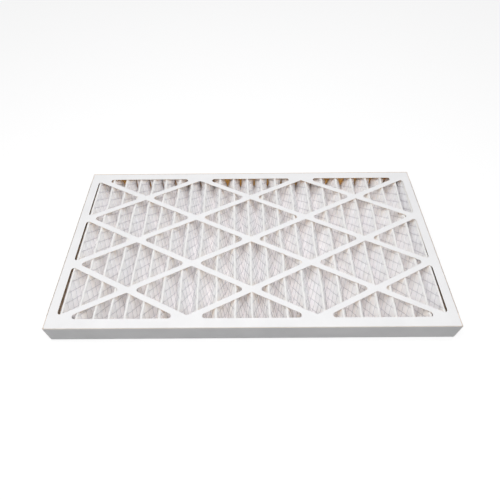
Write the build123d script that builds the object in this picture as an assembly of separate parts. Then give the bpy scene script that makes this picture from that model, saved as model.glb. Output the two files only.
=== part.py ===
from build123d import *

import os
from math import asin, atan2, cos, degrees, hypot, sin

# Pleated panel air filter: two nested paperboard trays with a diamond lattice on each face, and
# between them one pleated sheet of filter media with a diamond support net bonded on its upper side.
# It lies on its lower face. X runs along the length, Y across it and parallel to the pleats, +Z up.
# The origin is in the middle of the lower face. All sizes are in millimetres.

# Frame: the lower tray is the outer one, the upper tray is turned over and nested inside its walls.
frame_length = 749.3
frame_width = 393.7
frame_depth = 44.45
flange_width = 19.05
board = 0.75  # thickness of the paperboard
fold_outside = 1.0  # outside radius of a scored fold, whose inside is pressed sharp
ply_gap = 0.15  # glue line between two boards laid side by side
edge_gap = 0.3  # a wall's raw edge stops this short of the face of the other tray
corner_tab = 25.0  # length of the glue tab that a long wall turns round each corner

# Lattice cut out of each tray's face
cells_along = 3
cells_across = 3
strip_width = 11.0
window_radius = 5.0  # at the corners of a window that are narrower than a right angle

# Pleated pack
pleat_pitch = 31.75  # asked for: the pack has the nearest whole number of pleats
end_flap = 4.5  # flat run of media on the lower flange at each end
media_thickness = 1.5
fold_radius = 1.4  # at the middle of the media's thickness
pack_clearance = 0.3  # from the pack to the walls around it
glue_line = 0.2  # from a fold to the lattice that it is bonded to

# Support net on the air-leaving side of the media, drawn coarser than the real one
net_thickness = 0.4
net_film = 0.1  # adhesive film between the net and the media
net_strand = 1.6  # width of a strand, seen from above
net_rows = 2  # diamonds along each ridge

# What follows from them
ply = board + ply_gap
inner_length = frame_length - 4 * ply
inner_width = frame_width - 2 * ply
opening_length = frame_length - 2 * flange_width
opening_width = frame_width - 2 * flange_width
cell_length = opening_length / cells_along
cell_width = opening_width / cells_across

pack_length = inner_length - 2 * (ply + board + pack_clearance)
pack_width = inner_width - 2 * (board + pack_clearance)
pleats = max(1, round((pack_length - 2 * end_flap) / pleat_pitch))
pitch = (pack_length - 2 * end_flap) / pleats
media_half = media_thickness / 2
net_low = media_half + net_film
net_high = net_low + net_thickness
valley_z = board + glue_line + media_half
ridge_z = frame_depth - board - glue_line - net_high

# A side of a pleat is the line that touches the fold circles at a ridge and at a valley.
rise = ridge_z - valley_z - 2 * fold_radius
fold_span = hypot(pitch / 2, rise)
slope = atan2(rise, pitch / 2) + asin(2 * fold_radius / fold_span)


def channel(width, height, length):
    """Board folded up along two sides: a floor `width` wide in X with walls, `length` long in Y."""
    outside = Rectangle(width, height, align=(Align.CENTER, Align.MIN))
    room = Rectangle(width - 2 * board, height, align=(Align.CENTER, Align.MIN))
    section = outside - Pos(0, board) * room
    section = fillet(section.vertices().group_by(Axis.Y)[0], fold_outside)
    return extrude(Plane.XZ * section, amount=length / 2, both=True)


def corner_walls(length, width, height):
    """The long walls above their lower fold, each with a tab turned inwards at both ends."""
    outside = RectangleRounded(length, width, fold_outside)
    room = Rectangle(length - 2 * board, width - 2 * board)
    between_tabs = Rectangle(2 * length, width - 2 * corner_tab)
    section = outside - room - between_tabs
    return extrude(Pos(0, 0, fold_outside) * section, amount=height - fold_outside)


def diamond(length, width, strip):
    """The four corners of the clear space in a diamond cell between strips `strip` wide."""
    lean = atan2(width, length)
    reach_x = (length - strip / sin(lean)) / 2
    reach_y = (width - strip / cos(lean)) / 2
    return [(reach_x, 0), (0, reach_y), (-reach_x, 0), (0, -reach_y)]


def is_narrow(before, corner, after):
    """Whether the angle at a corner is less than a right angle."""
    back = Vector(*before) - Vector(*corner)
    ahead = Vector(*after) - Vector(*corner)
    return back.dot(ahead) > 0


def window(along, across):
    """One window of the lattice, its centre given in half cells from the middle of the face.

    A window on the border of the opening is the half of a diamond that lies inside it.
    """
    inside = [along < cells_along, across < cells_across, along > -cells_along, across > -cells_across]
    corners = diamond(cell_length, cell_width, strip_width)
    corners = [corner for corner, kept in zip(corners, inside) if kept]
    face = Polygon(*corners, align=None)
    for turn, corner in enumerate(corners):
        before = corners[turn - 1]
        after = corners[(turn + 1) % len(corners)]
        if is_narrow(before, corner, after):
            nearest = face.vertices().sort_by_distance(Vector(*corner))[0]
            face = fillet(nearest, window_radius)
    return Pos(along * cell_length / 2, across * cell_width / 2) * face


def tray(length, width, height):
    """One die-cut blank folded into a tray: a latticed floor, four walls and four corner tabs."""
    ends = channel(length, height, width - 2 * fold_outside)
    sides = Rot(0, 0, 90) * channel(width, height, length - 2 * (ply + fold_outside))
    folded = ends + sides + corner_walls(length - 2 * ply, width, height)
    for along in range(-cells_along, cells_along + 1):
        for across in range(-cells_across, cells_across + 1):
            between_strips = (along + across + cells_along + cells_across) % 2 == 1
            if between_strips:
                folded -= extrude(window(along, across), amount=board)
    return folded


def fold(place, side, offset, rounded):
    """One surface's path round a fold, its place counted in half pitches from the middle.

    `side` is 1 at a ridge and -1 at a valley. On a rounded sheet the outside of a fold is an arc.
    Everywhere else a fold is pressed flat, with a corner where the flat meets each side.
    """
    middle_z = ridge_z - fold_radius if side > 0 else valley_z + fold_radius
    radius = fold_radius + side * offset
    start = 0 if place == -pleats else -slope
    end = 0 if place == pleats else slope

    def at(turn, reach):
        """The point `reach` from the fold's centre, `turn` from straight up or down."""
        return (place * pitch / 2 + reach * sin(turn), middle_z + side * reach * cos(turn))

    if rounded and side * offset > 0:
        return ThreePointArc(at(start, radius), at((start + end) / 2, radius), at(end, radius))
    first = at(start / 2, radius / cos(start / 2))
    last = at(end / 2, radius / cos(end / 2))
    return Line(first, last)


def surface(offset, rounded):
    """One surface of a pleated sheet, from its left end to its right, as a list of edges."""
    folds = []
    for place in range(-pleats, pleats + 1):
        side = 1 if (place + pleats) % 2 == 1 else -1
        folds.append(fold(place, side, offset, rounded))
    flap_z = valley_z + offset
    edges = [Line((-pack_length / 2, flap_z), folds[0] @ 0)]
    for before, after in zip(folds, folds[1:]):
        edges += [before, Line(before @ 1, after @ 0)]
    edges += [folds[-1], Line(folds[-1] @ 1, (pack_length / 2, flap_z))]
    return edges


def pleated_sheet(low, high, rounded):
    """The solid between two surfaces of the pack, given by their offsets from the media's middle."""
    under = surface(low, rounded)
    over = surface(high, rounded)
    left = Line(under[0] @ 0, over[0] @ 0)
    right = Line(under[-1] @ 1, over[-1] @ 1)
    section = make_face([*under, right, *over, left])
    return extrude(Plane.XZ * section, amount=pack_width / 2, both=True)


def support_net():
    """A thin pleated sheet opened into diamonds, over every ridge and, between those, every valley."""
    row_length = pack_width / net_rows
    gap = Polygon(*diamond(pitch, row_length, net_strand), align=None)
    gaps = []
    for place in range(1 - pleats, pleats):
        over_ridge = (place + pleats) % 2 == 1
        rows = net_rows if over_ridge else net_rows - 1
        for row in range(rows):
            gaps.append(Pos(place * pitch / 2, (row - (rows - 1) / 2) * row_length) * gap)
    return pleated_sheet(net_low, net_high, rounded=False) - extrude(Sketch() + gaps, amount=frame_depth)


lower_tray = tray(frame_length, frame_width, frame_depth - edge_gap)
upper_tray = tray(inner_length, inner_width, frame_depth - board - edge_gap)
upper_tray = Pos(0, 0, frame_depth) * Rot(180, 0, 0) * upper_tray

parts = {
    "lower_tray": lower_tray,
    "upper_tray": upper_tray,
    "filter_media": pleated_sheet(-media_half, media_half, rounded=True),
    "support_grid": support_net(),
}

os.makedirs("parts", exist_ok=True)
for name, shape in parts.items():
    export_step(shape, os.path.join("parts", f"{name}.step"))
print(f"{pleats} pleats, {pitch:.2f} mm apart, sides {degrees(slope):.1f} degrees from level")
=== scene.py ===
"""Finish of a pleated panel air filter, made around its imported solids.

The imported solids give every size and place. The two board trays keep their solids and get a
paperboard finish, white outside and kraft brown inside and at every cut. The pleated media and the
diamond support net are computed here as surfaces that follow the pack's own folds.
"""

import logging
import math
from dataclasses import dataclass, field
from enum import Enum
from typing import Optional, Sequence

import bpy
import numpy as np
from mathutils import Matrix, Vector


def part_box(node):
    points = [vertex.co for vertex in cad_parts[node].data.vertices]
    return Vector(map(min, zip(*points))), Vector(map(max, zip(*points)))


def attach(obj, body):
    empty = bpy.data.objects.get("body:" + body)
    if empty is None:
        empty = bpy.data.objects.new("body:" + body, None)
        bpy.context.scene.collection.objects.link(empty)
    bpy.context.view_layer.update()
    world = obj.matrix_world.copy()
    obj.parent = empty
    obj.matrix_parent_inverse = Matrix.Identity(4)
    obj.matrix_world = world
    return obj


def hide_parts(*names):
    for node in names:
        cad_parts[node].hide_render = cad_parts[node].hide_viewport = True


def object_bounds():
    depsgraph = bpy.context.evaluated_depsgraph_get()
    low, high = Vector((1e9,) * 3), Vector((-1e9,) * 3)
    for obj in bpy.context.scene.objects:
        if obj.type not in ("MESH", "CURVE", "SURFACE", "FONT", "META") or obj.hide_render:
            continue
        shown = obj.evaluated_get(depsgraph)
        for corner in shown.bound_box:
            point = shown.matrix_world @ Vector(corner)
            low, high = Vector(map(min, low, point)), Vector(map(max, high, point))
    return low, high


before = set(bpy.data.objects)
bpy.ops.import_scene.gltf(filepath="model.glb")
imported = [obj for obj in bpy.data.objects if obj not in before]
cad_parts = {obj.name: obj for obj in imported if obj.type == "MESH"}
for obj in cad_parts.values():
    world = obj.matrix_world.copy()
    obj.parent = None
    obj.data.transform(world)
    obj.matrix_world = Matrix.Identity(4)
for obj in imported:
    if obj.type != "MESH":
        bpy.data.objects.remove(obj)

CAD_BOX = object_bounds()
UNFOLDED = "unfolded"  # the UV map of the media, in metres on the sheet before it is pleated
MIX_COLOURS = (6, 7)  # the two colour inputs of a Mix node, which have no names of their own
MIX_RESULT = 2  # its colour output
MILLIMETRE = 0.001

Colour = tuple[float, float, float, float]
Span = tuple[float, float]
log = logging.getLogger("air_filter")


class Slot(Enum):
    """The record's material slots for the media and the net."""

    MEDIA = "media"
    NET = "grid_strand"


# --------------------------------------------------------------------------- materials


class Shader:
    """A small helper that adds nodes to one material and links them."""

    def __init__(self, name: str) -> None:
        """Starts a material that holds one Principled shader.

        Args:
            name: The material's name.
        """
        self.material = bpy.data.materials.new(name)
        self.material.use_nodes = True
        self.tree = self.material.node_tree
        self.tree.nodes.clear()
        self.output = self.tree.nodes.new("ShaderNodeOutputMaterial")
        self.surface = self.tree.nodes.new("ShaderNodeBsdfPrincipled")
        self.tree.links.new(self.surface.outputs["BSDF"], self.output.inputs["Surface"])

    def link(self, source: bpy.types.NodeSocket, target: bpy.types.NodeSocket) -> None:
        """Joins an output to an input."""
        self.tree.links.new(source, target)

    def feed(self, socket: bpy.types.NodeSocket, value: object) -> None:
        """Sets a socket from a number, a colour or another node's output.

        Args:
            socket: The input to set.
            value: A node output, a number or a sequence of numbers.
        """
        if isinstance(value, bpy.types.NodeSocket):
            self.link(value, socket)
        else:
            socket.default_value = value

    def math(self, kind: str, *values: object) -> bpy.types.NodeSocket:
        """Adds a Math node.

        Args:
            kind: The operation, such as ADD.
            values: Its inputs, each a number or an output.

        Returns:
            The result.
        """
        node = self.tree.nodes.new("ShaderNodeMath")
        node.operation = kind
        for socket, value in zip(node.inputs, values):
            self.feed(socket, value)
        return node.outputs[0]

    def object_place(self) -> bpy.types.NodeSocket:
        """The place on the piece, in its own metres."""
        return self.tree.nodes.new("ShaderNodeTexCoord").outputs["Object"]

    def facing(self) -> bpy.types.NodeSocket:
        """The direction that the surface faces."""
        return self.tree.nodes.new("ShaderNodeNewGeometry").outputs["Normal"]

    def sheet_place(self) -> bpy.types.NodeSocket:
        """The place on the unfolded sheet, in metres, from the piece's own UV map.

        Returns:
            The place, across the pleats and along them.
        """
        node = self.tree.nodes.new("ShaderNodeUVMap")
        node.uv_map = UNFOLDED
        return node.outputs["UV"]

    def split(self, vector: bpy.types.NodeSocket) -> list[bpy.types.NodeSocket]:
        """Takes a vector apart.

        Args:
            vector: The vector.

        Returns:
            Its X, Y and Z.
        """
        node = self.tree.nodes.new("ShaderNodeSeparateXYZ")
        self.link(vector, node.inputs[0])
        return list(node.outputs)

    def stretch(self, vector: bpy.types.NodeSocket, scale: Sequence[float]) -> bpy.types.NodeSocket:
        """Multiplies a vector by a scale on each axis.

        Args:
            vector: The vector.
            scale: The three scales. A pattern read at the result is longest where its scale is least.

        Returns:
            The stretched vector.
        """
        node = self.tree.nodes.new("ShaderNodeMapping")
        self.link(vector, node.inputs["Vector"])
        node.inputs["Scale"].default_value = scale
        return node.outputs[0]

    def noise(
        self,
        vector: bpy.types.NodeSocket,
        size: float,
        detail: float = 3.0,
        roughness: float = 0.5,
        distortion: float = 0.0,
    ) -> bpy.types.NodeSocket:
        """Adds smooth noise.

        Args:
            vector: Where it is read.
            size: The size of its patches, in metres.
            detail: How many finer layers it has.
            roughness: How strong the finer layers are.
            distortion: How much its patches are bent.

        Returns:
            The noise, about 0.5 on average.
        """
        node = self.tree.nodes.new("ShaderNodeTexNoise")
        self.link(vector, node.inputs["Vector"])
        node.inputs["Scale"].default_value = 1.0 / size
        node.inputs["Detail"].default_value = detail
        node.inputs["Roughness"].default_value = roughness
        node.inputs["Distortion"].default_value = distortion
        return node.outputs["Fac"]

    def ramp(
        self, value: bpy.types.NodeSocket, low: float, high: float, first: float = 0.0, last: float = 1.0
    ) -> bpy.types.NodeSocket:
        """Maps one span onto another, held at both ends.

        Args:
            value: The value to map.
            low: Where the first span begins.
            high: Where it ends.
            first: The result at its beginning and below.
            last: The result at its end and above.

        Returns:
            The mapped value.
        """
        node = self.tree.nodes.new("ShaderNodeMapRange")
        self.link(value, node.inputs["Value"])
        node.inputs["From Min"].default_value = low
        node.inputs["From Max"].default_value = high
        node.inputs["To Min"].default_value = first
        node.inputs["To Max"].default_value = last
        return node.outputs["Result"]

    def blend(self, share: object, first: object, second: object) -> bpy.types.NodeSocket:
        """Mixes two colours.

        Args:
            share: How much of the second shows, from 0 to 1.
            first: A colour or an output.
            second: A colour or an output.

        Returns:
            The mixed colour.
        """
        node = self.tree.nodes.new("ShaderNodeMix")
        node.data_type = "RGBA"
        self.feed(node.inputs["Factor"], share)
        for number, colour in zip(MIX_COLOURS, (first, second)):
            self.feed(node.inputs[number], colour)
        return node.outputs[MIX_RESULT]

    def relief(self, height: bpy.types.NodeSocket, depth: float, strength: float) -> None:
        """Gives the surface fine relief.

        Args:
            height: The relief's height, about 0 to 1.
            depth: The height of 1, in metres.
            strength: How much of it shows.
        """
        node = self.tree.nodes.new("ShaderNodeBump")
        node.inputs["Distance"].default_value = depth
        node.inputs["Strength"].default_value = strength
        self.link(height, node.inputs["Height"])
        self.link(node.outputs["Normal"], self.surface.inputs["Normal"])


@dataclass(frozen=True)
class BoardFinish:
    """Clay-coated white kraft board: white on the blank's outer side, brown inside and at its cuts.

    `skin` is how far inside the tray's box its white side may lie. A surface faces outwards, or
    lies level, if at least that share of its normal does.
    """

    white: Colour = (0.80, 0.80, 0.806, 1.0)
    white_shade: Colour = (0.765, 0.766, 0.772, 1.0)
    kraft: Colour = (0.86, 0.55, 0.19, 1.0)
    kraft_shade: Colour = (0.76, 0.45, 0.13, 1.0)
    cut: Colour = (0.64, 0.57, 0.49, 1.0)
    # Painted light: the end walls' inner kraft is lighter, standing in for light in the shaded gap beside the
    # media.
    kraft_painted_light: Colour = (0.93, 0.85, 0.75, 1.0)
    cut_pale: Colour = (0.86, 0.86, 0.86, 1.0)
    board: float = 0.75 * MILLIMETRE
    skin: float = 0.9 * MILLIMETRE
    least_outward: float = 0.3
    least_level: float = 0.7
    mottle: float = 0.035
    mottle_span: Span = (0.35, 0.75)
    fibre: float = 0.0012
    fibre_slant: tuple[float, float, float] = (1.0, 0.25, 1.0)
    fibre_span: Span = (0.3, 0.7)
    fibre_depth: float = 0.00006
    fibre_strength: float = 0.5
    roughness: Span = (0.57, 0.70)
    roughness_span: Span = (0.3, 0.7)
    shine: float = 0.35

    def make(self, name: str, low: Vector, high: Vector, face_up: bool) -> bpy.types.Material:
        """Makes the finish of one tray.

        A point is on the white side if it faces outwards and lies within a fold's depth of the
        tray's own box: of its face, or of one of its four walls. All else is bare kraft, paler at a
        cut edge. On the two end walls the cut edges are pale grey, and the kraft is painted lighter:
        painted light in the shaded gap beside the media.

        Args:
            name: The material's name.
            low: The tray's lowest corner.
            high: The tray's highest corner.
            face_up: Whether the tray's latticed face is its upper side.

        Returns:
            The material.
        """
        shader = Shader(name)
        place = shader.object_place()
        toward = shader.split(shader.facing())
        at = shader.split(place)
        middle, half = (low + high) / 2, (high - low) / 2
        off_middle = [shader.math("SUBTRACT", at[axis], middle[axis]) for axis in (0, 1)]
        off_face = shader.math("ABSOLUTE", shader.math("SUBTRACT", at[2], high.z if face_up else low.z))
        up = shader.math("MULTIPLY", toward[2], 1.0 if face_up else -1.0)
        outside = shader.math(
            "MULTIPLY",
            shader.math("LESS_THAN", off_face, self.skin),
            shader.math("GREATER_THAN", up, self.least_outward),
        )
        for axis, from_middle in enumerate(off_middle):
            near = shader.math("GREATER_THAN", shader.math("ABSOLUTE", from_middle), half[axis] - self.skin)
            outward = shader.math("MULTIPLY", toward[axis], shader.math("SIGN", from_middle))
            outward = shader.math("GREATER_THAN", outward, self.least_outward)
            outside = shader.math("MAXIMUM", outside, shader.math("MULTIPLY", near, outward))

        patches = shader.noise(place, self.mottle, detail=4.0)
        white = shader.blend(shader.ramp(patches, *self.mottle_span), self.white, self.white_shade)
        fibres = shader.noise(shader.stretch(place, self.fibre_slant), self.fibre, detail=5.0, roughness=0.7)
        kraft = shader.blend(shader.ramp(fibres, *self.fibre_span), self.kraft, self.kraft_shade)
        from_end = shader.math("ABSOLUTE", off_middle[0])
        end_wall = shader.math("GREATER_THAN", from_end, half.x - 2 * self.board)
        # Painted light on the end walls' kraft, which is lighter than the rest.
        kraft = shader.blend(end_wall, kraft, self.kraft_painted_light)
        cut = shader.blend(end_wall, self.cut, self.cut_pale)
        kraft = shader.blend(self.at_cut(shader, off_face, toward[2]), kraft, cut)

        shader.feed(shader.surface.inputs["Base Color"], shader.blend(outside, kraft, white))
        rough = shader.ramp(patches, *self.roughness_span, *self.roughness)
        shader.feed(shader.surface.inputs["Roughness"], rough)
        shader.surface.inputs["Specular IOR Level"].default_value = self.shine
        shader.relief(fibres, self.fibre_depth, self.fibre_strength)
        return shader.material

    def at_cut(
        self, shader: Shader, off_face: bpy.types.NodeSocket, upright: bpy.types.NodeSocket
    ) -> bpy.types.NodeSocket:
        """Whether a point is on the board's cut edge.

        Away from the face the edge is what faces straight up or down, at the walls' ends. In the
        face it is what faces sideways, round the windows.

        Args:
            shader: The finish in the making.
            off_face: The distance from the tray's face.
            upright: How far the surface faces up or down.

        Returns:
            1 at a cut edge, and otherwise 0.
        """
        lies = shader.math("ABSOLUTE", upright)
        away = shader.math("GREATER_THAN", off_face, 3 * self.board)
        wall_end = shader.math("MULTIPLY", away, shader.math("GREATER_THAN", lies, self.least_level))
        in_face = shader.math("LESS_THAN", off_face, 1.1 * self.board)
        window_edge = shader.math("MULTIPLY", in_face, shader.math("LESS_THAN", lies, 1 - self.least_level))
        return shader.math("MAXIMUM", wall_end, window_edge)


@dataclass(frozen=True)
class MediaFinish:
    """Soft non-woven polyester and cotton: off-white, mottled, with fine crossing fibres."""

    pale: Colour = (0.962, 0.959, 0.955, 1.0)
    cool: Colour = (0.94, 0.932, 0.955, 1.0)
    warm: Colour = (0.945, 0.93, 0.91, 1.0)
    # Painted shade: the crests are darker than the sides, to temper the highlight that falls on them.
    crest: Colour = (0.79, 0.788, 0.778, 1.0)
    crest_shade_depth: float = 0.0040
    # Painted shade: the media is darker and a little mauve towards the valley bottoms, up to this height.
    valley_shade: Colour = (0.925, 0.905, 0.91, 1.0)
    valley_shade_height: float = 0.024
    # A darker band along each strand: adhesive stain, with painted contact shade.
    strand_band: Colour = (0.81, 0.80, 0.82, 1.0)
    strand_shade_reach: Span = (0.04, 0.20)
    cloud: float = 0.013
    cloud_span: Span = (0.32, 0.72)
    cloud_loft: float = 1.5
    tint: float = 0.028
    tint_slant: tuple[float, float, float] = (1.0, 1.3, 1.0)
    tint_span: Span = (0.5, 0.78)
    tint_most: float = 0.55
    fibre: float = 0.0016
    fibre_stretch: float = 0.2
    loft: float = 0.00004
    quilt: float = 0.0006
    roughness: float = 0.92
    shine: float = 0.15
    fuzz: float = 0.15
    fuzz_roughness: float = 0.6

    def quilted(
        self, shader: Shader, sheet: bpy.types.NodeSocket, pack: "PleatedPack"
    ) -> bpy.types.NodeSocket:
        """How far the media stands out between the net's strands, as a share of its most.

        Each family of strands lies at the whole numbers of a slanting coordinate of the unfolded
        sheet. The share is the product of the sines of both coordinates, without their signs.

        Args:
            shader: The finish in the making.
            sheet: The place on the unfolded sheet.
            pack: The pack that the net's cells belong to.

        Returns:
            The share.
        """
        across, along, _ = shader.split(sheet)
        cells = shader.math("DIVIDE", across, pack.side_length / pack.net_cells)
        bows = []
        for lean, edge in ((1.0, pack.low.y), (-1.0, pack.high.y)):
            rows = shader.math("DIVIDE", shader.math("SUBTRACT", along, edge), lean * pack.net_width)
            turn = shader.math("MULTIPLY", shader.math("SUBTRACT", cells, rows), math.pi)
            bows.append(shader.math("ABSOLUTE", shader.math("SINE", turn)))
        return shader.math("MULTIPLY", *bows)

    def lofted(
        self, shader: Shader, sheet: bpy.types.NodeSocket, clouds: bpy.types.NodeSocket
    ) -> bpy.types.NodeSocket:
        """The fine relief of the fibres, which run both ways, on a slow swell.

        Args:
            shader: The finish in the making.
            sheet: The place on the unfolded sheet.
            clouds: The noise that the swell follows.

        Returns:
            The height, as a share of the quilted relief.
        """
        height = shader.math("MULTIPLY", clouds, self.cloud_loft)
        for slant in ((1.0, self.fibre_stretch, 1.0), (self.fibre_stretch, 1.0, 1.0)):
            place = shader.stretch(sheet, slant)
            fibres = shader.noise(place, self.fibre, detail=5.0, roughness=0.65, distortion=0.6)
            height = shader.math("ADD", height, fibres)
        return shader.math("MULTIPLY", height, self.loft / self.quilt)

    def make(self, name: str, pack: "PleatedPack") -> bpy.types.Material:
        """Makes the finish.

        Args:
            name: The material's name.
            pack: The pack, at whose ridges the colour is darker: painted shade that tempers their highlight.

        Returns:
            The material.
        """
        ridge = pack.high.z
        shader = Shader(name)
        sheet = shader.sheet_place()
        height = shader.split(shader.object_place())[2]
        clouds = shader.noise(sheet, self.cloud, detail=4.0, roughness=0.6)
        tints = shader.noise(shader.stretch(sheet, self.tint_slant), self.tint, detail=2.0)
        quilt = self.quilted(shader, sheet, pack)
        base = shader.blend(shader.ramp(clouds, *self.cloud_span), self.pale, self.cool)
        base = shader.blend(shader.ramp(tints, *self.tint_span, 0.0, self.tint_most), base, self.warm)
        # Painted shade, darker towards the valley bottoms.
        base = shader.blend(shader.ramp(height, 0.0, self.valley_shade_height, 1.0, 0.0), base, self.valley_shade)
        # Painted shade, darker at the crests.
        base = shader.blend(shader.ramp(height, ridge - self.crest_shade_depth, ridge), base, self.crest)
        # Darker band along the strands: adhesive stain with painted contact shade.
        base = shader.blend(shader.ramp(quilt, *self.strand_shade_reach, 1.0, 0.0), base, self.strand_band)
        shader.feed(shader.surface.inputs["Base Color"], base)
        shader.surface.inputs["Roughness"].default_value = self.roughness
        shader.surface.inputs["Specular IOR Level"].default_value = self.shine
        shader.surface.inputs["Sheen Weight"].default_value = self.fuzz
        shader.surface.inputs["Sheen Roughness"].default_value = self.fuzz_roughness
        shader.relief(shader.math("ADD", quilt, self.lofted(shader, sheet, clouds)), self.quilt, 1.0)
        return shader.material


@dataclass(frozen=True)
class NetFinish:
    """Thin slit and stretched steel, dull grey, with darker patches, and paler near the ridges."""

    steel: Colour = (0.66, 0.66, 0.68, 1.0)
    dull: Colour = (0.54, 0.535, 0.555, 1.0)
    # The strands' paler colour near the ridges, and how far below them it reaches.
    ridge_pale: Colour = (0.76, 0.76, 0.755, 1.0)
    ridge_pale_depth: float = 0.004
    patch: float = 0.004
    patch_span: Span = (0.35, 0.65)
    grain: float = 0.0006
    grain_depth: float = 0.00005
    grain_strength: float = 0.4
    roughness: float = 0.5
    metallic: float = 0.35

    def make(self, name: str, crest: float) -> bpy.types.Material:
        """Makes the finish.

        Args:
            name: The material's name.
            crest: The height of the ridges, near which the net is paler.

        Returns:
            The material.
        """
        shader = Shader(name)
        place = shader.object_place()
        patches = shader.noise(place, self.patch, detail=3.0)
        steel = shader.blend(shader.ramp(patches, *self.patch_span), self.steel, self.dull)
        # The strands are paler near the ridges.
        strand_band = shader.ramp(shader.split(place)[2], crest - self.ridge_pale_depth, crest)
        shader.feed(shader.surface.inputs["Base Color"], shader.blend(strand_band, steel, self.ridge_pale))
        shader.surface.inputs["Roughness"].default_value = self.roughness
        shader.surface.inputs["Metallic"].default_value = self.metallic
        shader.relief(shader.noise(place, self.grain, detail=2.0), self.grain_depth, self.grain_strength)
        return shader.material


# --------------------------------------------------------------------------- mesh helpers


def mesh_piece(
    name: str,
    points: np.ndarray,
    quads: np.ndarray,
    triangles: Optional[np.ndarray] = None,
    unfolded: Optional[np.ndarray] = None,
    smooth: bool = True,
) -> bpy.types.Object:
    """Puts arrays of points and faces into a new object at the origin.

    Args:
        name: The piece's name.
        points: One row of X, Y and Z for each point, in metres.
        quads: One row of four point numbers for each four-sided face.
        triangles: One row of three point numbers for each three-sided face.
        unfolded: One row of U and V for each point, in metres.
        smooth: Whether its faces are shaded smooth.

    Returns:
        The object.
    """
    triangles = np.empty((0, 3), int) if triangles is None else triangles
    mesh = bpy.data.meshes.new(name)
    corners = np.concatenate([quads.ravel(), triangles.ravel()]).astype(np.int32)
    sizes = np.concatenate([np.full(len(quads), 4), np.full(len(triangles), 3)]).astype(np.int32)
    starts = np.concatenate([[0], np.cumsum(sizes)[:-1]]).astype(np.int32)
    mesh.vertices.add(len(points))
    mesh.vertices.foreach_set("co", points.astype(np.float32).ravel())
    mesh.loops.add(len(corners))
    mesh.loops.foreach_set("vertex_index", corners)
    mesh.polygons.add(len(sizes))
    mesh.polygons.foreach_set("loop_start", starts)
    mesh.polygons.foreach_set("use_smooth", np.full(len(sizes), smooth))
    if unfolded is not None:
        layer = mesh.uv_layers.new(name=UNFOLDED)
        layer.data.foreach_set("uv", unfolded[corners].astype(np.float32).ravel())
    mesh.update(calc_edges=True)
    mesh.validate()
    piece = bpy.data.objects.new(name, mesh)
    bpy.context.scene.collection.objects.link(piece)
    return piece


def grid_quads(rows: int, columns: int, flip: bool = False) -> np.ndarray:
    """The four-sided faces of a grid of points numbered row by row.

    Args:
        rows: How many rows of points there are.
        columns: How many points are in a row.
        flip: Whether the faces point the other way.

    Returns:
        One row of four point numbers for each face.
    """
    row, column = np.meshgrid(np.arange(rows - 1), np.arange(columns - 1), indexing="ij")
    first = (row * columns + column).ravel()
    quads = np.stack([first, first + columns, first + columns + 1, first + 1], axis=1)
    return quads[:, ::-1] if flip else quads


# --------------------------------------------------------------------------- the pleated pack


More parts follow.
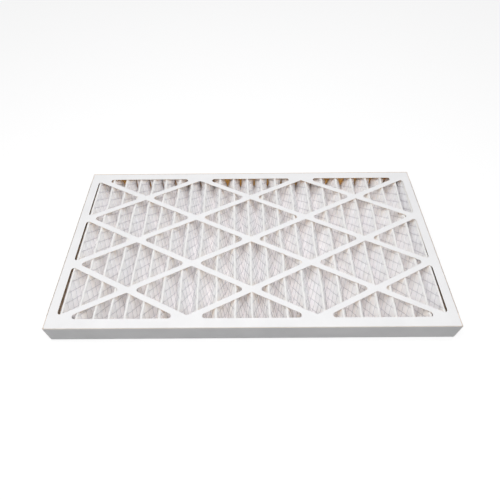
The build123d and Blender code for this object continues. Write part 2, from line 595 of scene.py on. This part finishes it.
@dataclass
class PleatedPack:
    """The folds that the media and its net share.

    A place on the sheet has three coordinates. `fold` counts folds from the left end: a whole
    number is a fold's apex, even ones are valleys and odd ones ridges, and below 0 and above the
    last is the flat flap at each end. `y` runs along the pleats. `offset` is the distance above
    the middle of the media's thickness.

    `drift_front` and `drift_back` say how far the folds stand off their even places at the front
    and at the back edge, in millimetres, at the shares of the pack's length in `drift_at`.
    `wander` is a fold's own unevenness, made of a constant and two waves, given as shares of it
    and as lengths along the fold. It is held back where the share of the pack's length up to the
    fold, times what is left of it, is under `held`. `bulge` is a side's own unevenness, made in
    the same way. `closed_back` has one share for each valley, from the left: how far up its sides
    touch each other at the back wall. At the front wall each share is drawn from `closed_front`.
    """

    low: Vector
    high: Vector
    pleats: int = 23
    thickness: float = 1.5 * MILLIMETRE
    valley_radius: float = 1.6 * MILLIMETRE
    ridge_radius: float = 1.9 * MILLIMETRE
    end_flap: float = 4.5 * MILLIMETRE
    drift_at: tuple[float, ...] = (
        0.0, 0.02, 0.11, 0.2, 0.3, 0.38, 0.46, 0.6, 0.72, 0.8, 0.87, 0.935, 0.98, 1.0,
    )
    drift_front: tuple[float, ...] = (0, 2, -1.5, -10, -8.5, -5.5, 2, 3, 6.5, 9, 6, 3, -0.8, 0)
    drift_back: tuple[float, ...] = (0, -1.8, -4, -4, -7, -8.5, -8, -6, 6.5, 14, 18, 21, 7, 0)
    wander: float = 0.9 * MILLIMETRE
    wander_shares: tuple[float, float, float] = (1.6, 0.7, 0.4)
    wander_lengths: Span = (0.19, 0.083)
    held: float = 1 / 16
    bulge: float = 0.6 * MILLIMETRE
    bulge_shares: tuple[float, float, float] = (2.0, 1.0, 0.8)
    bulge_lengths: Span = (0.12, 0.051)
    bow: float = 0.6 * MILLIMETRE
    closed_back: tuple[float, ...] = (
        0.6, 0.6, 0.2, 0.8, 0.84, 0.84, 0.84, 0.7, 0.7, 0.7, 0.22, 0.46,
        0.52, 0.8, 0.8, 0.7, 0.65, 0.36, 0.22, 0.46, 0.5, 0.46, 0.7, 0.7,
    )
    closed_front: Span = (0.15, 0.65)
    closing_reach: float = 0.024
    closing_gap: float = 1.4 * MILLIMETRE
    net_cells: int = 2
    net_width: float = 0.0237
    seed: int = 23
    folds: int = field(init=False)
    pitch: float = field(init=False)
    valley_centre: float = field(init=False)
    ridge_centre: float = field(init=False)
    side_length: float = field(init=False)
    valley_share: float = field(init=False)
    ridge_share: float = field(init=False)
    waves: np.ndarray = field(init=False)
    closed: np.ndarray = field(init=False)

    def __post_init__(self) -> None:
        """Works out the pitch and a side's length, and draws each fold's own irregularities.

        On an even pleat, a side is the line that touches the fold circles at both its ends, and an
        arc of each circle. The drawn numbers are a fold's six, from 0 to 1, and how far each valley
        is closed at the front wall.
        """
        self.folds = 2 * self.pleats
        self.pitch = (self.high.x - self.low.x - 2 * self.end_flap) / self.pleats
        self.valley_centre = self.low.z + self.thickness / 2 + self.valley_radius
        self.ridge_centre = self.high.z - self.thickness / 2 - self.ridge_radius
        radii = self.valley_radius + self.ridge_radius
        rise = self.ridge_centre - self.valley_centre
        span = math.hypot(self.pitch / 2, rise)
        slope = math.atan2(rise, self.pitch / 2) + math.asin(radii / span)
        self.side_length = radii * slope + math.sqrt(span**2 - radii**2)
        self.valley_share = self.valley_radius * slope / self.side_length
        self.ridge_share = self.ridge_radius * slope / self.side_length
        draw = np.random.default_rng(self.seed)
        self.waves = draw.uniform(0.0, 1.0, (self.folds + 1, 6))
        least, most = self.closed_front
        front = most - (most - least) * draw.uniform(0.0, 1.0, self.pleats + 1) ** 2
        self.closed = np.stack([front, np.array(self.closed_back)])

    def fold_x(self, number: np.ndarray, y: np.ndarray) -> np.ndarray:
        """Where each fold runs.

        Even spacing, plus a slow drift of the whole pack, which is read between a few stations along
        the front edge and along the back edge, plus a small wander of each fold on its own. The
        wander fades out near both ends of the pack.

        Args:
            number: Each fold's number.
            y: Where along the fold.

        Returns:
            The fold's X.
        """
        share = number / self.folds
        even = self.low.x + self.end_flap + number * self.pitch / 2
        depth = (y - self.low.y) / (self.high.y - self.low.y)
        front = np.interp(share, self.drift_at, self.drift_front) * MILLIMETRE
        back = np.interp(share, self.drift_at, self.drift_back) * MILLIMETRE
        wave = self.waves[number]
        constant, *shares = self.wander_shares
        own = constant * (wave[..., 0] - 0.5)
        for part, length, begin in zip(shares, self.wander_lengths, (wave[..., 1], wave[..., 2])):
            own = own + part * np.sin(2 * np.pi * (y / length + begin))
        free = np.clip(share * (1 - share) / self.held, 0, 1)
        return even + (1 - depth) * front + depth * back + self.wander * own * free

    def locate(self, fold: np.ndarray, y: np.ndarray, offset: float) -> np.ndarray:
        """Finds points of the pleated sheet.

        Round a fold a point lies on a circle about the fold's centre. Between two folds it lies on
        the line that touches both circles, pushed out square to it. On an end flap it lies level.

        Args:
            fold: The place across the pleats.
            y: The place along the pleats.
            offset: The distance above the middle of the media.

        Returns:
            One row of X, Y and Z for each point, in the arguments' shape.
        """
        fold, y = np.broadcast_arrays(np.asarray(fold, float), np.asarray(y, float))
        number = np.clip(np.floor(fold).astype(int), 0, self.folds - 1)
        share = np.clip(fold - number, 0.0, 1.0)
        falling = number % 2 == 1
        up = np.where(falling, 1.0, -1.0)
        x0, x1 = self.fold_x(number, y), self.fold_x(number + 1, y)
        z0 = np.where(falling, self.ridge_centre, self.valley_centre)
        z1 = np.where(falling, self.valley_centre, self.ridge_centre)
        rise = self.ridge_centre - self.valley_centre
        radii = self.valley_radius + self.ridge_radius
        slope = np.arctan2(rise, x1 - x0) + np.arcsin(radii / np.hypot(x1 - x0, rise))
        arc0 = np.where(falling, self.ridge_share, self.valley_share)
        arc1 = np.where(falling, self.valley_share, self.ridge_share)
        near0 = np.clip(share / arc0, 0, 1)
        near1 = np.clip((1 - share) / arc1, 0, 1)
        radius0 = np.where(falling, self.ridge_radius, self.valley_radius) + up * offset
        radius1 = np.where(falling, self.valley_radius, self.ridge_radius) - up * offset
        first = (x0 + radius0 * np.sin(slope * near0), z0 + up * radius0 * np.cos(slope * near0))
        last = (x1 - radius1 * np.sin(slope * near1), z1 - up * radius1 * np.cos(slope * near1))
        along = np.clip((share - arc0) / (1 - arc0 - arc1), 0, 1)
        x, z = (
            np.where(near0 < 1, start, np.where(near1 < 1, end, start + along * (end - start)))
            for start, end in zip(first, last)
        )
        height = np.where(falling, 1 - along, along)
        push = self.uneven(number, y, height) + self.pressed(number, y, height, (x1 - x0) * np.sin(slope))
        flap = np.minimum(fold, 0) + np.maximum(fold - self.folds, 0)
        x = x + push * up * np.sin(slope) + flap * self.side_length
        z = z + push * np.cos(slope)
        return np.stack([x, y, z], axis=-1)

    def uneven(self, number: np.ndarray, y: np.ndarray, height: np.ndarray) -> np.ndarray:
        """How far a side stands out of its plane.

        A low bulge, a half sine up the side times slow waves along it, less a bow, a whole sine up
        the side, which makes its lower half hollow and its upper half full.

        Args:
            number: The number of each side's first fold.
            y: Where along the pleat.
            height: How far up the side, from 0 at the valley to 1 at the ridge.

        Returns:
            The distance, square to the side.
        """
        wave = self.waves[number]
        constant, *shares = self.bulge_shares
        along = constant * wave[..., 5] - 1
        for part, length, begin in zip(shares, self.bulge_lengths, (wave[..., 3], wave[..., 4])):
            along = along + part * np.sin(2 * np.pi * (y / length + begin))
        return self.bulge * np.sin(np.pi * height) * along - self.bow * np.sin(2 * np.pi * height)

    def pressed(self, number: np.ndarray, y: np.ndarray, height: np.ndarray, width: np.ndarray) -> np.ndarray:
        """How far a side stands into its valley where the pack is pressed between the end walls.

        Over the last stretch before a wall the two sides of a valley come together. At the wall they
        touch up to the valley's own share of the height, and part in a straight line above it. Away
        from the wall this fades by a smooth step along the pleat.

        Args:
            number: The number of each side's first fold.
            y: Where along the pleat.
            height: How far up the side, from 0 at the valley to 1 at the ridge.
            width: The distance from the valley to the middle plane between its sides, at the ridge.

        Returns:
            The distance, square to the side.
        """
        valley = (number + number % 2) // 2
        distance = np.zeros_like(y)
        for end, gap in enumerate((y - self.low.y, self.high.y - y)):
            top = self.closed[end][valley]
            touching = np.maximum(width * height - self.closing_gap, 0)
            parting = np.maximum(width * top - self.closing_gap, 0) * (1 - height) / (1 - top)
            near = np.clip(1 - gap / self.closing_reach, 0, 1)
            distance = distance + np.minimum(touching, parting) * near**2 * (3 - 2 * near)
        return distance

    def stations(self, per_side: int, per_fold: int) -> np.ndarray:
        """Places across the whole sheet, close together at the folds.

        Args:
            per_side: How many steps each flat side is cut into.
            per_fold: How many steps each half fold is cut into.

        Returns:
            The places, from the end of one flap to the end of the other.
        """
        valley = self.valley_share * np.arange(per_fold) / per_fold
        flat = 1 - self.valley_share - self.ridge_share
        side = self.valley_share + flat * np.arange(per_side) / per_side
        ridge = 1 - self.ridge_share * (1 - np.arange(per_fold) / per_fold)
        upward = np.concatenate([valley, side, ridge])
        pleat = np.concatenate([upward, [1.0], 2 - upward[:0:-1]])
        body = (2 * np.arange(self.pleats)[:, None] + pleat[None, :]).ravel()
        flap = self.end_flap / self.side_length
        return np.concatenate([[-flap], body, [self.folds, self.folds + flap]])

    @property
    def flat_length(self) -> float:
        """The length of the sheet before it was pleated."""
        return self.folds * self.side_length + 2 * self.end_flap


@dataclass
class FilterMedia:
    """The pleated sheet itself, with both its surfaces and its cut edges."""

    pack: PleatedPack
    finish: MediaFinish = MediaFinish()
    steps_per_side: int = 6
    steps_per_fold: int = 4
    row_length: float = 6.2 * MILLIMETRE

    def build(self) -> bpy.types.Object:
        """Makes the sheet as one closed surface.

        The upper and the lower surface are the pack's own, half a thickness above and below its
        middle, on the same grid of places across and along the pleats. Four bands close the edges.

        Returns:
            The piece.
        """
        pack = self.pack
        across = pack.stations(self.steps_per_side, self.steps_per_fold)
        rows = round((pack.high.y - pack.low.y) / self.row_length)
        along = np.linspace(pack.low.y, pack.high.y, rows + 1)
        fold, y = np.meshgrid(across, along, indexing="ij")
        over = pack.locate(fold, y, pack.thickness / 2)
        under = pack.locate(fold, y, -pack.thickness / 2)
        over[..., 2] = np.minimum(over[..., 2], pack.high.z)  # no crest stands proud of the solid
        count = fold.size
        numbers = np.arange(count).reshape(fold.shape)
        rim = np.concatenate([numbers[:, 0], numbers[-1, 1:], numbers[-2::-1, -1], numbers[0, -2::-1]])
        band = np.stack([rim[:-1] + count, rim[1:] + count, rim[1:], rim[:-1]], axis=1)
        quads = [grid_quads(*fold.shape), grid_quads(*fold.shape, flip=True) + count, band]
        flat = np.stack([fold * pack.side_length, y], axis=-1).reshape(-1, 2)
        piece = mesh_piece(
            "filter_media_sheet",
            np.concatenate([over.reshape(-1, 3), under.reshape(-1, 3)]),
            np.concatenate(quads),
            unfolded=np.concatenate([flat, flat]),
        )
        piece.data.materials.append(self.finish.make("filter_media", pack))
        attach(piece, "root")
        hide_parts("filter_media")
        return piece


@dataclass
class SupportNet:
    """The diamond net of slit and stretched steel, bonded on the media and folded with it.

    The strands stand `strand_height` high where they are pressed at the folds, and turn on edge
    up to `twist_height` between them.
    """

    pack: PleatedPack
    finish: NetFinish = NetFinish()
    strand_width: float = 0.9 * MILLIMETRE
    strand_height: float = 0.4 * MILLIMETRE
    twist_height: float = 0.8 * MILLIMETRE
    film: float = 0.1 * MILLIMETRE
    steps_per_side: int = 7
    steps_per_fold: int = 3

    def build(self) -> bpy.types.Object:
        """Makes every strand of the net as one piece.

        On the unfolded sheet the strands are straight lines of two families, which lean one way and
        the other and cross in rows of diamonds.

        Returns:
            The piece.
        """
        points, quads, ends = self.strands(1.0)
        more_points, more_quads, more_ends = self.strands(-1.0)
        piece = mesh_piece(
            "support_net_strands",
            np.concatenate([points, more_points]),
            np.concatenate([quads, more_quads + len(points)]),
            np.concatenate([ends, more_ends + len(points)]),
            smooth=False,
        )
        piece.data.materials.append(self.finish.make("support_net", self.pack.high.z))
        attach(piece, "root")
        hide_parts("support_grid")
        return piece

    def strands(self, lean: float) -> tuple[np.ndarray, np.ndarray, np.ndarray]:
        """One family of parallel strands.

        A strand begins at one long edge of the sheet and runs straight to the other, or to the
        sheet's end. It has a station wherever the media may turn: every strand has the same places
        across the folds, and those before its beginning or after its end fall on them.

        Args:
            lean: 1 for strands that run to the back as they go right, -1 for the other way.

        Returns:
            The points, the four-sided faces and the three-sided faces at the ends.
        """
        pack = self.pack
        y_low, y_high = pack.low.y, pack.high.y
        cell = 1.0 / pack.net_cells
        rate = pack.net_width / cell * lean
        crossing = (y_high - y_low) / abs(rate)
        begin = np.arange(-math.ceil(crossing / cell), pack.folds * pack.net_cells + 1) * cell
        first = np.maximum(begin, 0.0)
        last = np.minimum(begin + crossing, pack.folds)
        keep = last - first > cell / 4
        begin, first, last = begin[keep], first[keep], last[keep]
        places = pack.stations(self.steps_per_side, self.steps_per_fold)[1:-1]
        fold = np.clip(places, first[:, None], last[:, None])
        from_edge = (fold - begin[:, None]) * abs(rate)
        y = y_low + from_edge if lean > 0 else y_high - from_edge
        alive = (places[:-1] < last[:, None]) & (places[1:] > first[:, None])
        return self.bars(self.section(fold, y, rate), alive)

    def section(self, fold: np.ndarray, y: np.ndarray, rate: float) -> np.ndarray:
        """A strand's three-sided section at each of its stations.

        The section's base lies on the media, half the strand's width to either side of its middle,
        measured square to the strand on the unfolded sheet. Its top stands over the middle, at a
        height that is the root of a half sine from fold to fold.

        Args:
            fold: The places across the pleats, with one row for each strand.
            y: The places along the pleats.
            rate: How far along the pleats a strand runs from one fold to the next.

        Returns:
            The three points of each section.
        """
        pack = self.pack
        stride = math.hypot(pack.side_length, rate)
        half = self.strand_width / 2
        across = half * rate / stride / pack.side_length
        along = half * pack.side_length / stride
        base = pack.thickness / 2 + self.film
        twist = np.sqrt(np.sin(np.pi * (fold % 1)))
        height = self.strand_height + (self.twist_height - self.strand_height) * twist
        left = pack.locate(fold - across, y + along, base)
        top = pack.locate(fold, y, base + height)
        right = pack.locate(fold + across, y - along, base)
        points = np.stack([left, top, right], axis=2)
        points[..., 1] = np.clip(points[..., 1], pack.low.y, pack.high.y)
        return points

    def bars(self, points: np.ndarray, alive: np.ndarray) -> tuple[np.ndarray, np.ndarray, np.ndarray]:
        """Joins each strand's sections into a closed bar.

        Args:
            points: The three points of each section, by strand and station.
            alive: Whether a strand runs between each station and the next.

        Returns:
            The points that are used, the sides' faces and the two faces at each strand's ends.
        """
        number = np.arange(points.size // 3).reshape(points.shape[:3])
        here, there = number[:, :-1][alive], number[:, 1:][alive]
        sides = [
            np.stack([there[:, a], there[:, b], here[:, b], here[:, a]], axis=1)
            for a, b in ((0, 1), (1, 2), (2, 0))
        ]
        quads = np.concatenate(sides)
        each = np.arange(len(alive))
        start = np.argmax(alive, axis=1)
        stop = alive.shape[1] - np.argmax(alive[:, ::-1], axis=1)
        ends = np.concatenate([number[each, start], number[each, stop][:, ::-1]])
        used, renumbered = np.unique(np.concatenate([quads.ravel(), ends.ravel()]), return_inverse=True)
        quads = renumbered[: quads.size].reshape(-1, 4)
        ends = renumbered[quads.size :].reshape(-1, 3)
        return points.reshape(-1, 3)[used], quads, ends


# --------------------------------------------------------------------------- the frame


@dataclass
class BoardFrame:
    """The two nested paperboard trays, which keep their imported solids."""

    finish: BoardFinish = BoardFinish()

    def dress(self) -> list[bpy.types.Object]:
        """Gives each tray its finish.

        Returns:
            The two trays.
        """
        trays = []
        for name, face_up in (("lower_tray", False), ("upper_tray", True)):
            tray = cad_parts[name]
            low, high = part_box(name)
            tray.data.materials.clear()
            tray.data.materials.append(self.finish.make(name + "_board", low, high, face_up))
            trays.append(tray)
        return trays


# --------------------------------------------------------------------------- the studio


@dataclass
class Camera:
    """A camera in front of the filter, above it and looking down on its upper face."""

    place: tuple[float, float, float] = (-0.00461, -0.50803, 0.72047)
    elevation: float = 50.394
    turn: float = -0.376
    roll: float = -0.735
    focal_share: float = 405.7 / 500
    shift: tuple[float, float] = (0.0059, -0.0600)
    sensor: float = 36.0

    def build(self) -> bpy.types.Object:
        """Makes the camera and sets it as the scene's own.

        Returns:
            The camera.
        """
        down, side, roll = (math.radians(angle) for angle in (self.elevation, self.turn, self.roll))
        ahead = Vector((math.sin(side) * math.cos(down), math.cos(side) * math.cos(down), -math.sin(down)))
        level = Vector((math.cos(side), -math.sin(side), 0.0))
        above = level.cross(ahead)
        right = math.cos(roll) * level + math.sin(roll) * above
        over = right.cross(ahead)
        data = bpy.data.cameras.new("camera")
        data.sensor_width = self.sensor
        data.sensor_fit = "HORIZONTAL"
        data.lens = self.focal_share * self.sensor
        data.shift_x, data.shift_y = self.shift
        data.clip_start = 0.01
        camera = bpy.data.objects.new("camera", data)
        turn = Matrix((right, over, -ahead)).transposed()
        camera.matrix_world = Matrix.Translation(self.place) @ turn.to_4x4()
        bpy.context.scene.collection.objects.link(camera)
        bpy.context.scene.camera = camera
        return camera


@dataclass
class Studio:
    """A plain pale floor, a white surround and one wide soft lamp over the front of the filter.

    The surround lights from above and below: it is brightest straight up and down, from `dome_to`
    on, and dimmest near the level, up to `dome_from`, both given as the Z of a direction.
    """

    floor_side: float = 12.0
    floor_drop: float = 0.4 * MILLIMETRE
    floor_colour: Colour = (0.36, 0.36, 0.36, 1.0)
    floor_roughness: float = 0.9
    floor_glow: float = 0.66
    zenith: Colour = (0.985, 0.985, 1.0, 1.0)
    horizon: Colour = (0.06, 0.06, 0.061, 1.0)
    dome_from: float = 0.20
    dome_to: float = 0.80
    surround_strength: float = 0.785
    lamp_place: tuple[float, float, float] = (-0.10, -0.32, 1.45)
    lamp_side: float = 1.3
    lamp_power: float = 14.6
    lamp_colour: tuple[float, float, float] = (1.0, 0.995, 0.985)
    bounces_in_pleats: int = 12

    def build(self) -> None:
        """Makes the floor, the surround and the lamp, and sets the view."""
        self.floor()
        self.surround()
        self.lamp()
        bpy.context.scene.view_settings.view_transform = "Standard"
        bpy.context.scene.cycles.diffuse_bounces = self.bounces_in_pleats

    def floor(self) -> bpy.types.Object:
        """A wide floor that holds the filter's shadow.

        The camera sees it brighter than it is by a plain glow, so that it meets the white surround.

        Returns:
            The floor.
        """
        half = self.floor_side / 2
        corners = np.array([[-half, -half], [half, -half], [half, half], [-half, half]])
        points = np.column_stack([corners, np.full(4, CAD_BOX[0][2] - self.floor_drop)])
        floor = mesh_piece("floor", points, np.array([[0, 1, 2, 3]]), smooth=False)
        shader = Shader("floor")
        shader.surface.inputs["Base Color"].default_value = self.floor_colour
        shader.surface.inputs["Roughness"].default_value = self.floor_roughness
        shader.surface.inputs["Specular IOR Level"].default_value = 0.0
        tree = shader.tree
        glow = tree.nodes.new("ShaderNodeEmission")
        shader.feed(glow.inputs["Strength"], shader.math("MULTIPLY", seen_directly(tree), self.floor_glow))
        both = tree.nodes.new("ShaderNodeAddShader")
        for socket, source in zip(both.inputs, (shader.surface, glow)):
            shader.link(source.outputs[0], socket)
        shader.link(both.outputs[0], shader.output.inputs["Surface"])
        floor.data.materials.append(shader.material)
        return floor

    def surround(self) -> None:
        """A surround that lights softly and that the camera sees as white."""
        world = bpy.data.worlds.new("surround")
        world.use_nodes = True
        tree = world.node_tree
        light = tree.nodes["Background"]
        direction = tree.nodes.new("ShaderNodeSeparateXYZ")
        tree.links.new(tree.nodes.new("ShaderNodeTexCoord").outputs["Generated"], direction.inputs[0])
        off_level = tree.nodes.new("ShaderNodeMath")
        off_level.operation = "ABSOLUTE"
        tree.links.new(direction.outputs["Z"], off_level.inputs[0])
        height = tree.nodes.new("ShaderNodeMapRange")
        height.interpolation_type = "SMOOTHSTEP"
        height.inputs["From Min"].default_value = self.dome_from
        height.inputs["From Max"].default_value = self.dome_to
        tree.links.new(off_level.outputs[0], height.inputs["Value"])
        dome = tree.nodes.new("ShaderNodeMix")
        dome.data_type = "RGBA"
        tree.links.new(height.outputs["Result"], dome.inputs["Factor"])
        for number, colour in zip(MIX_COLOURS, (self.horizon, self.zenith)):
            dome.inputs[number].default_value = colour
        tree.links.new(dome.outputs[MIX_RESULT], light.inputs["Color"])
        light.inputs["Strength"].default_value = self.surround_strength
        white = tree.nodes.new("ShaderNodeBackground")
        white.inputs["Color"].default_value = (1.0, 1.0, 1.0, 1.0)
        pick = tree.nodes.new("ShaderNodeMixShader")
        for socket, source in zip(pick.inputs, (seen_directly(tree), light.outputs[0], white.outputs[0])):
            tree.links.new(source, socket)
        tree.links.new(pick.outputs[0], tree.nodes["World Output"].inputs["Surface"])
        bpy.context.scene.world = world

    def lamp(self) -> bpy.types.Object:
        """A square soft lamp aimed at the middle of the filter's lower face.

        Returns:
            The lamp.
        """
        data = bpy.data.lights.new("lamp", "AREA")
        data.shape = "SQUARE"
        data.size = self.lamp_side
        data.energy = self.lamp_power
        data.color = self.lamp_colour
        lamp = bpy.data.objects.new("lamp", data)
        lamp.location = self.lamp_place
        lamp.rotation_euler = (-Vector(self.lamp_place)).to_track_quat("-Z", "Y").to_euler()
        bpy.context.scene.collection.objects.link(lamp)
        return lamp


def seen_directly(tree: bpy.types.NodeTree) -> bpy.types.NodeSocket:
    """1 for rays from the camera, and for those that gloss or glass send on, and otherwise 0.

    Args:
        tree: The node tree that needs it.

    Returns:
        The share.
    """
    path = tree.nodes.new("ShaderNodeLightPath")
    found = path.outputs["Is Camera Ray"]
    for kind in ("Is Glossy Ray", "Is Transmission Ray"):
        node = tree.nodes.new("ShaderNodeMath")
        node.operation = "MAXIMUM"
        tree.links.new(found, node.inputs[0])
        tree.links.new(path.outputs[kind], node.inputs[1])
        found = node.outputs[0]
    return found


def report(piece: bpy.types.Object) -> None:
    """Logs a piece's name and how many faces it has."""
    log.info("%s: %d faces", piece.name, len(piece.data.polygons))


def main() -> None:
    """Builds the studio, the pack and the frame in order."""
    logging.basicConfig(level=logging.INFO, format="%(name)s: %(message)s")
    Camera().build()
    Studio().build()
    pack = PleatedPack(*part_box("filter_media"))
    for piece in (FilterMedia(pack).build(), SupportNet(pack).build(), *BoardFrame().dress()):
        report(piece)


if __name__ == "__main__":
    main()
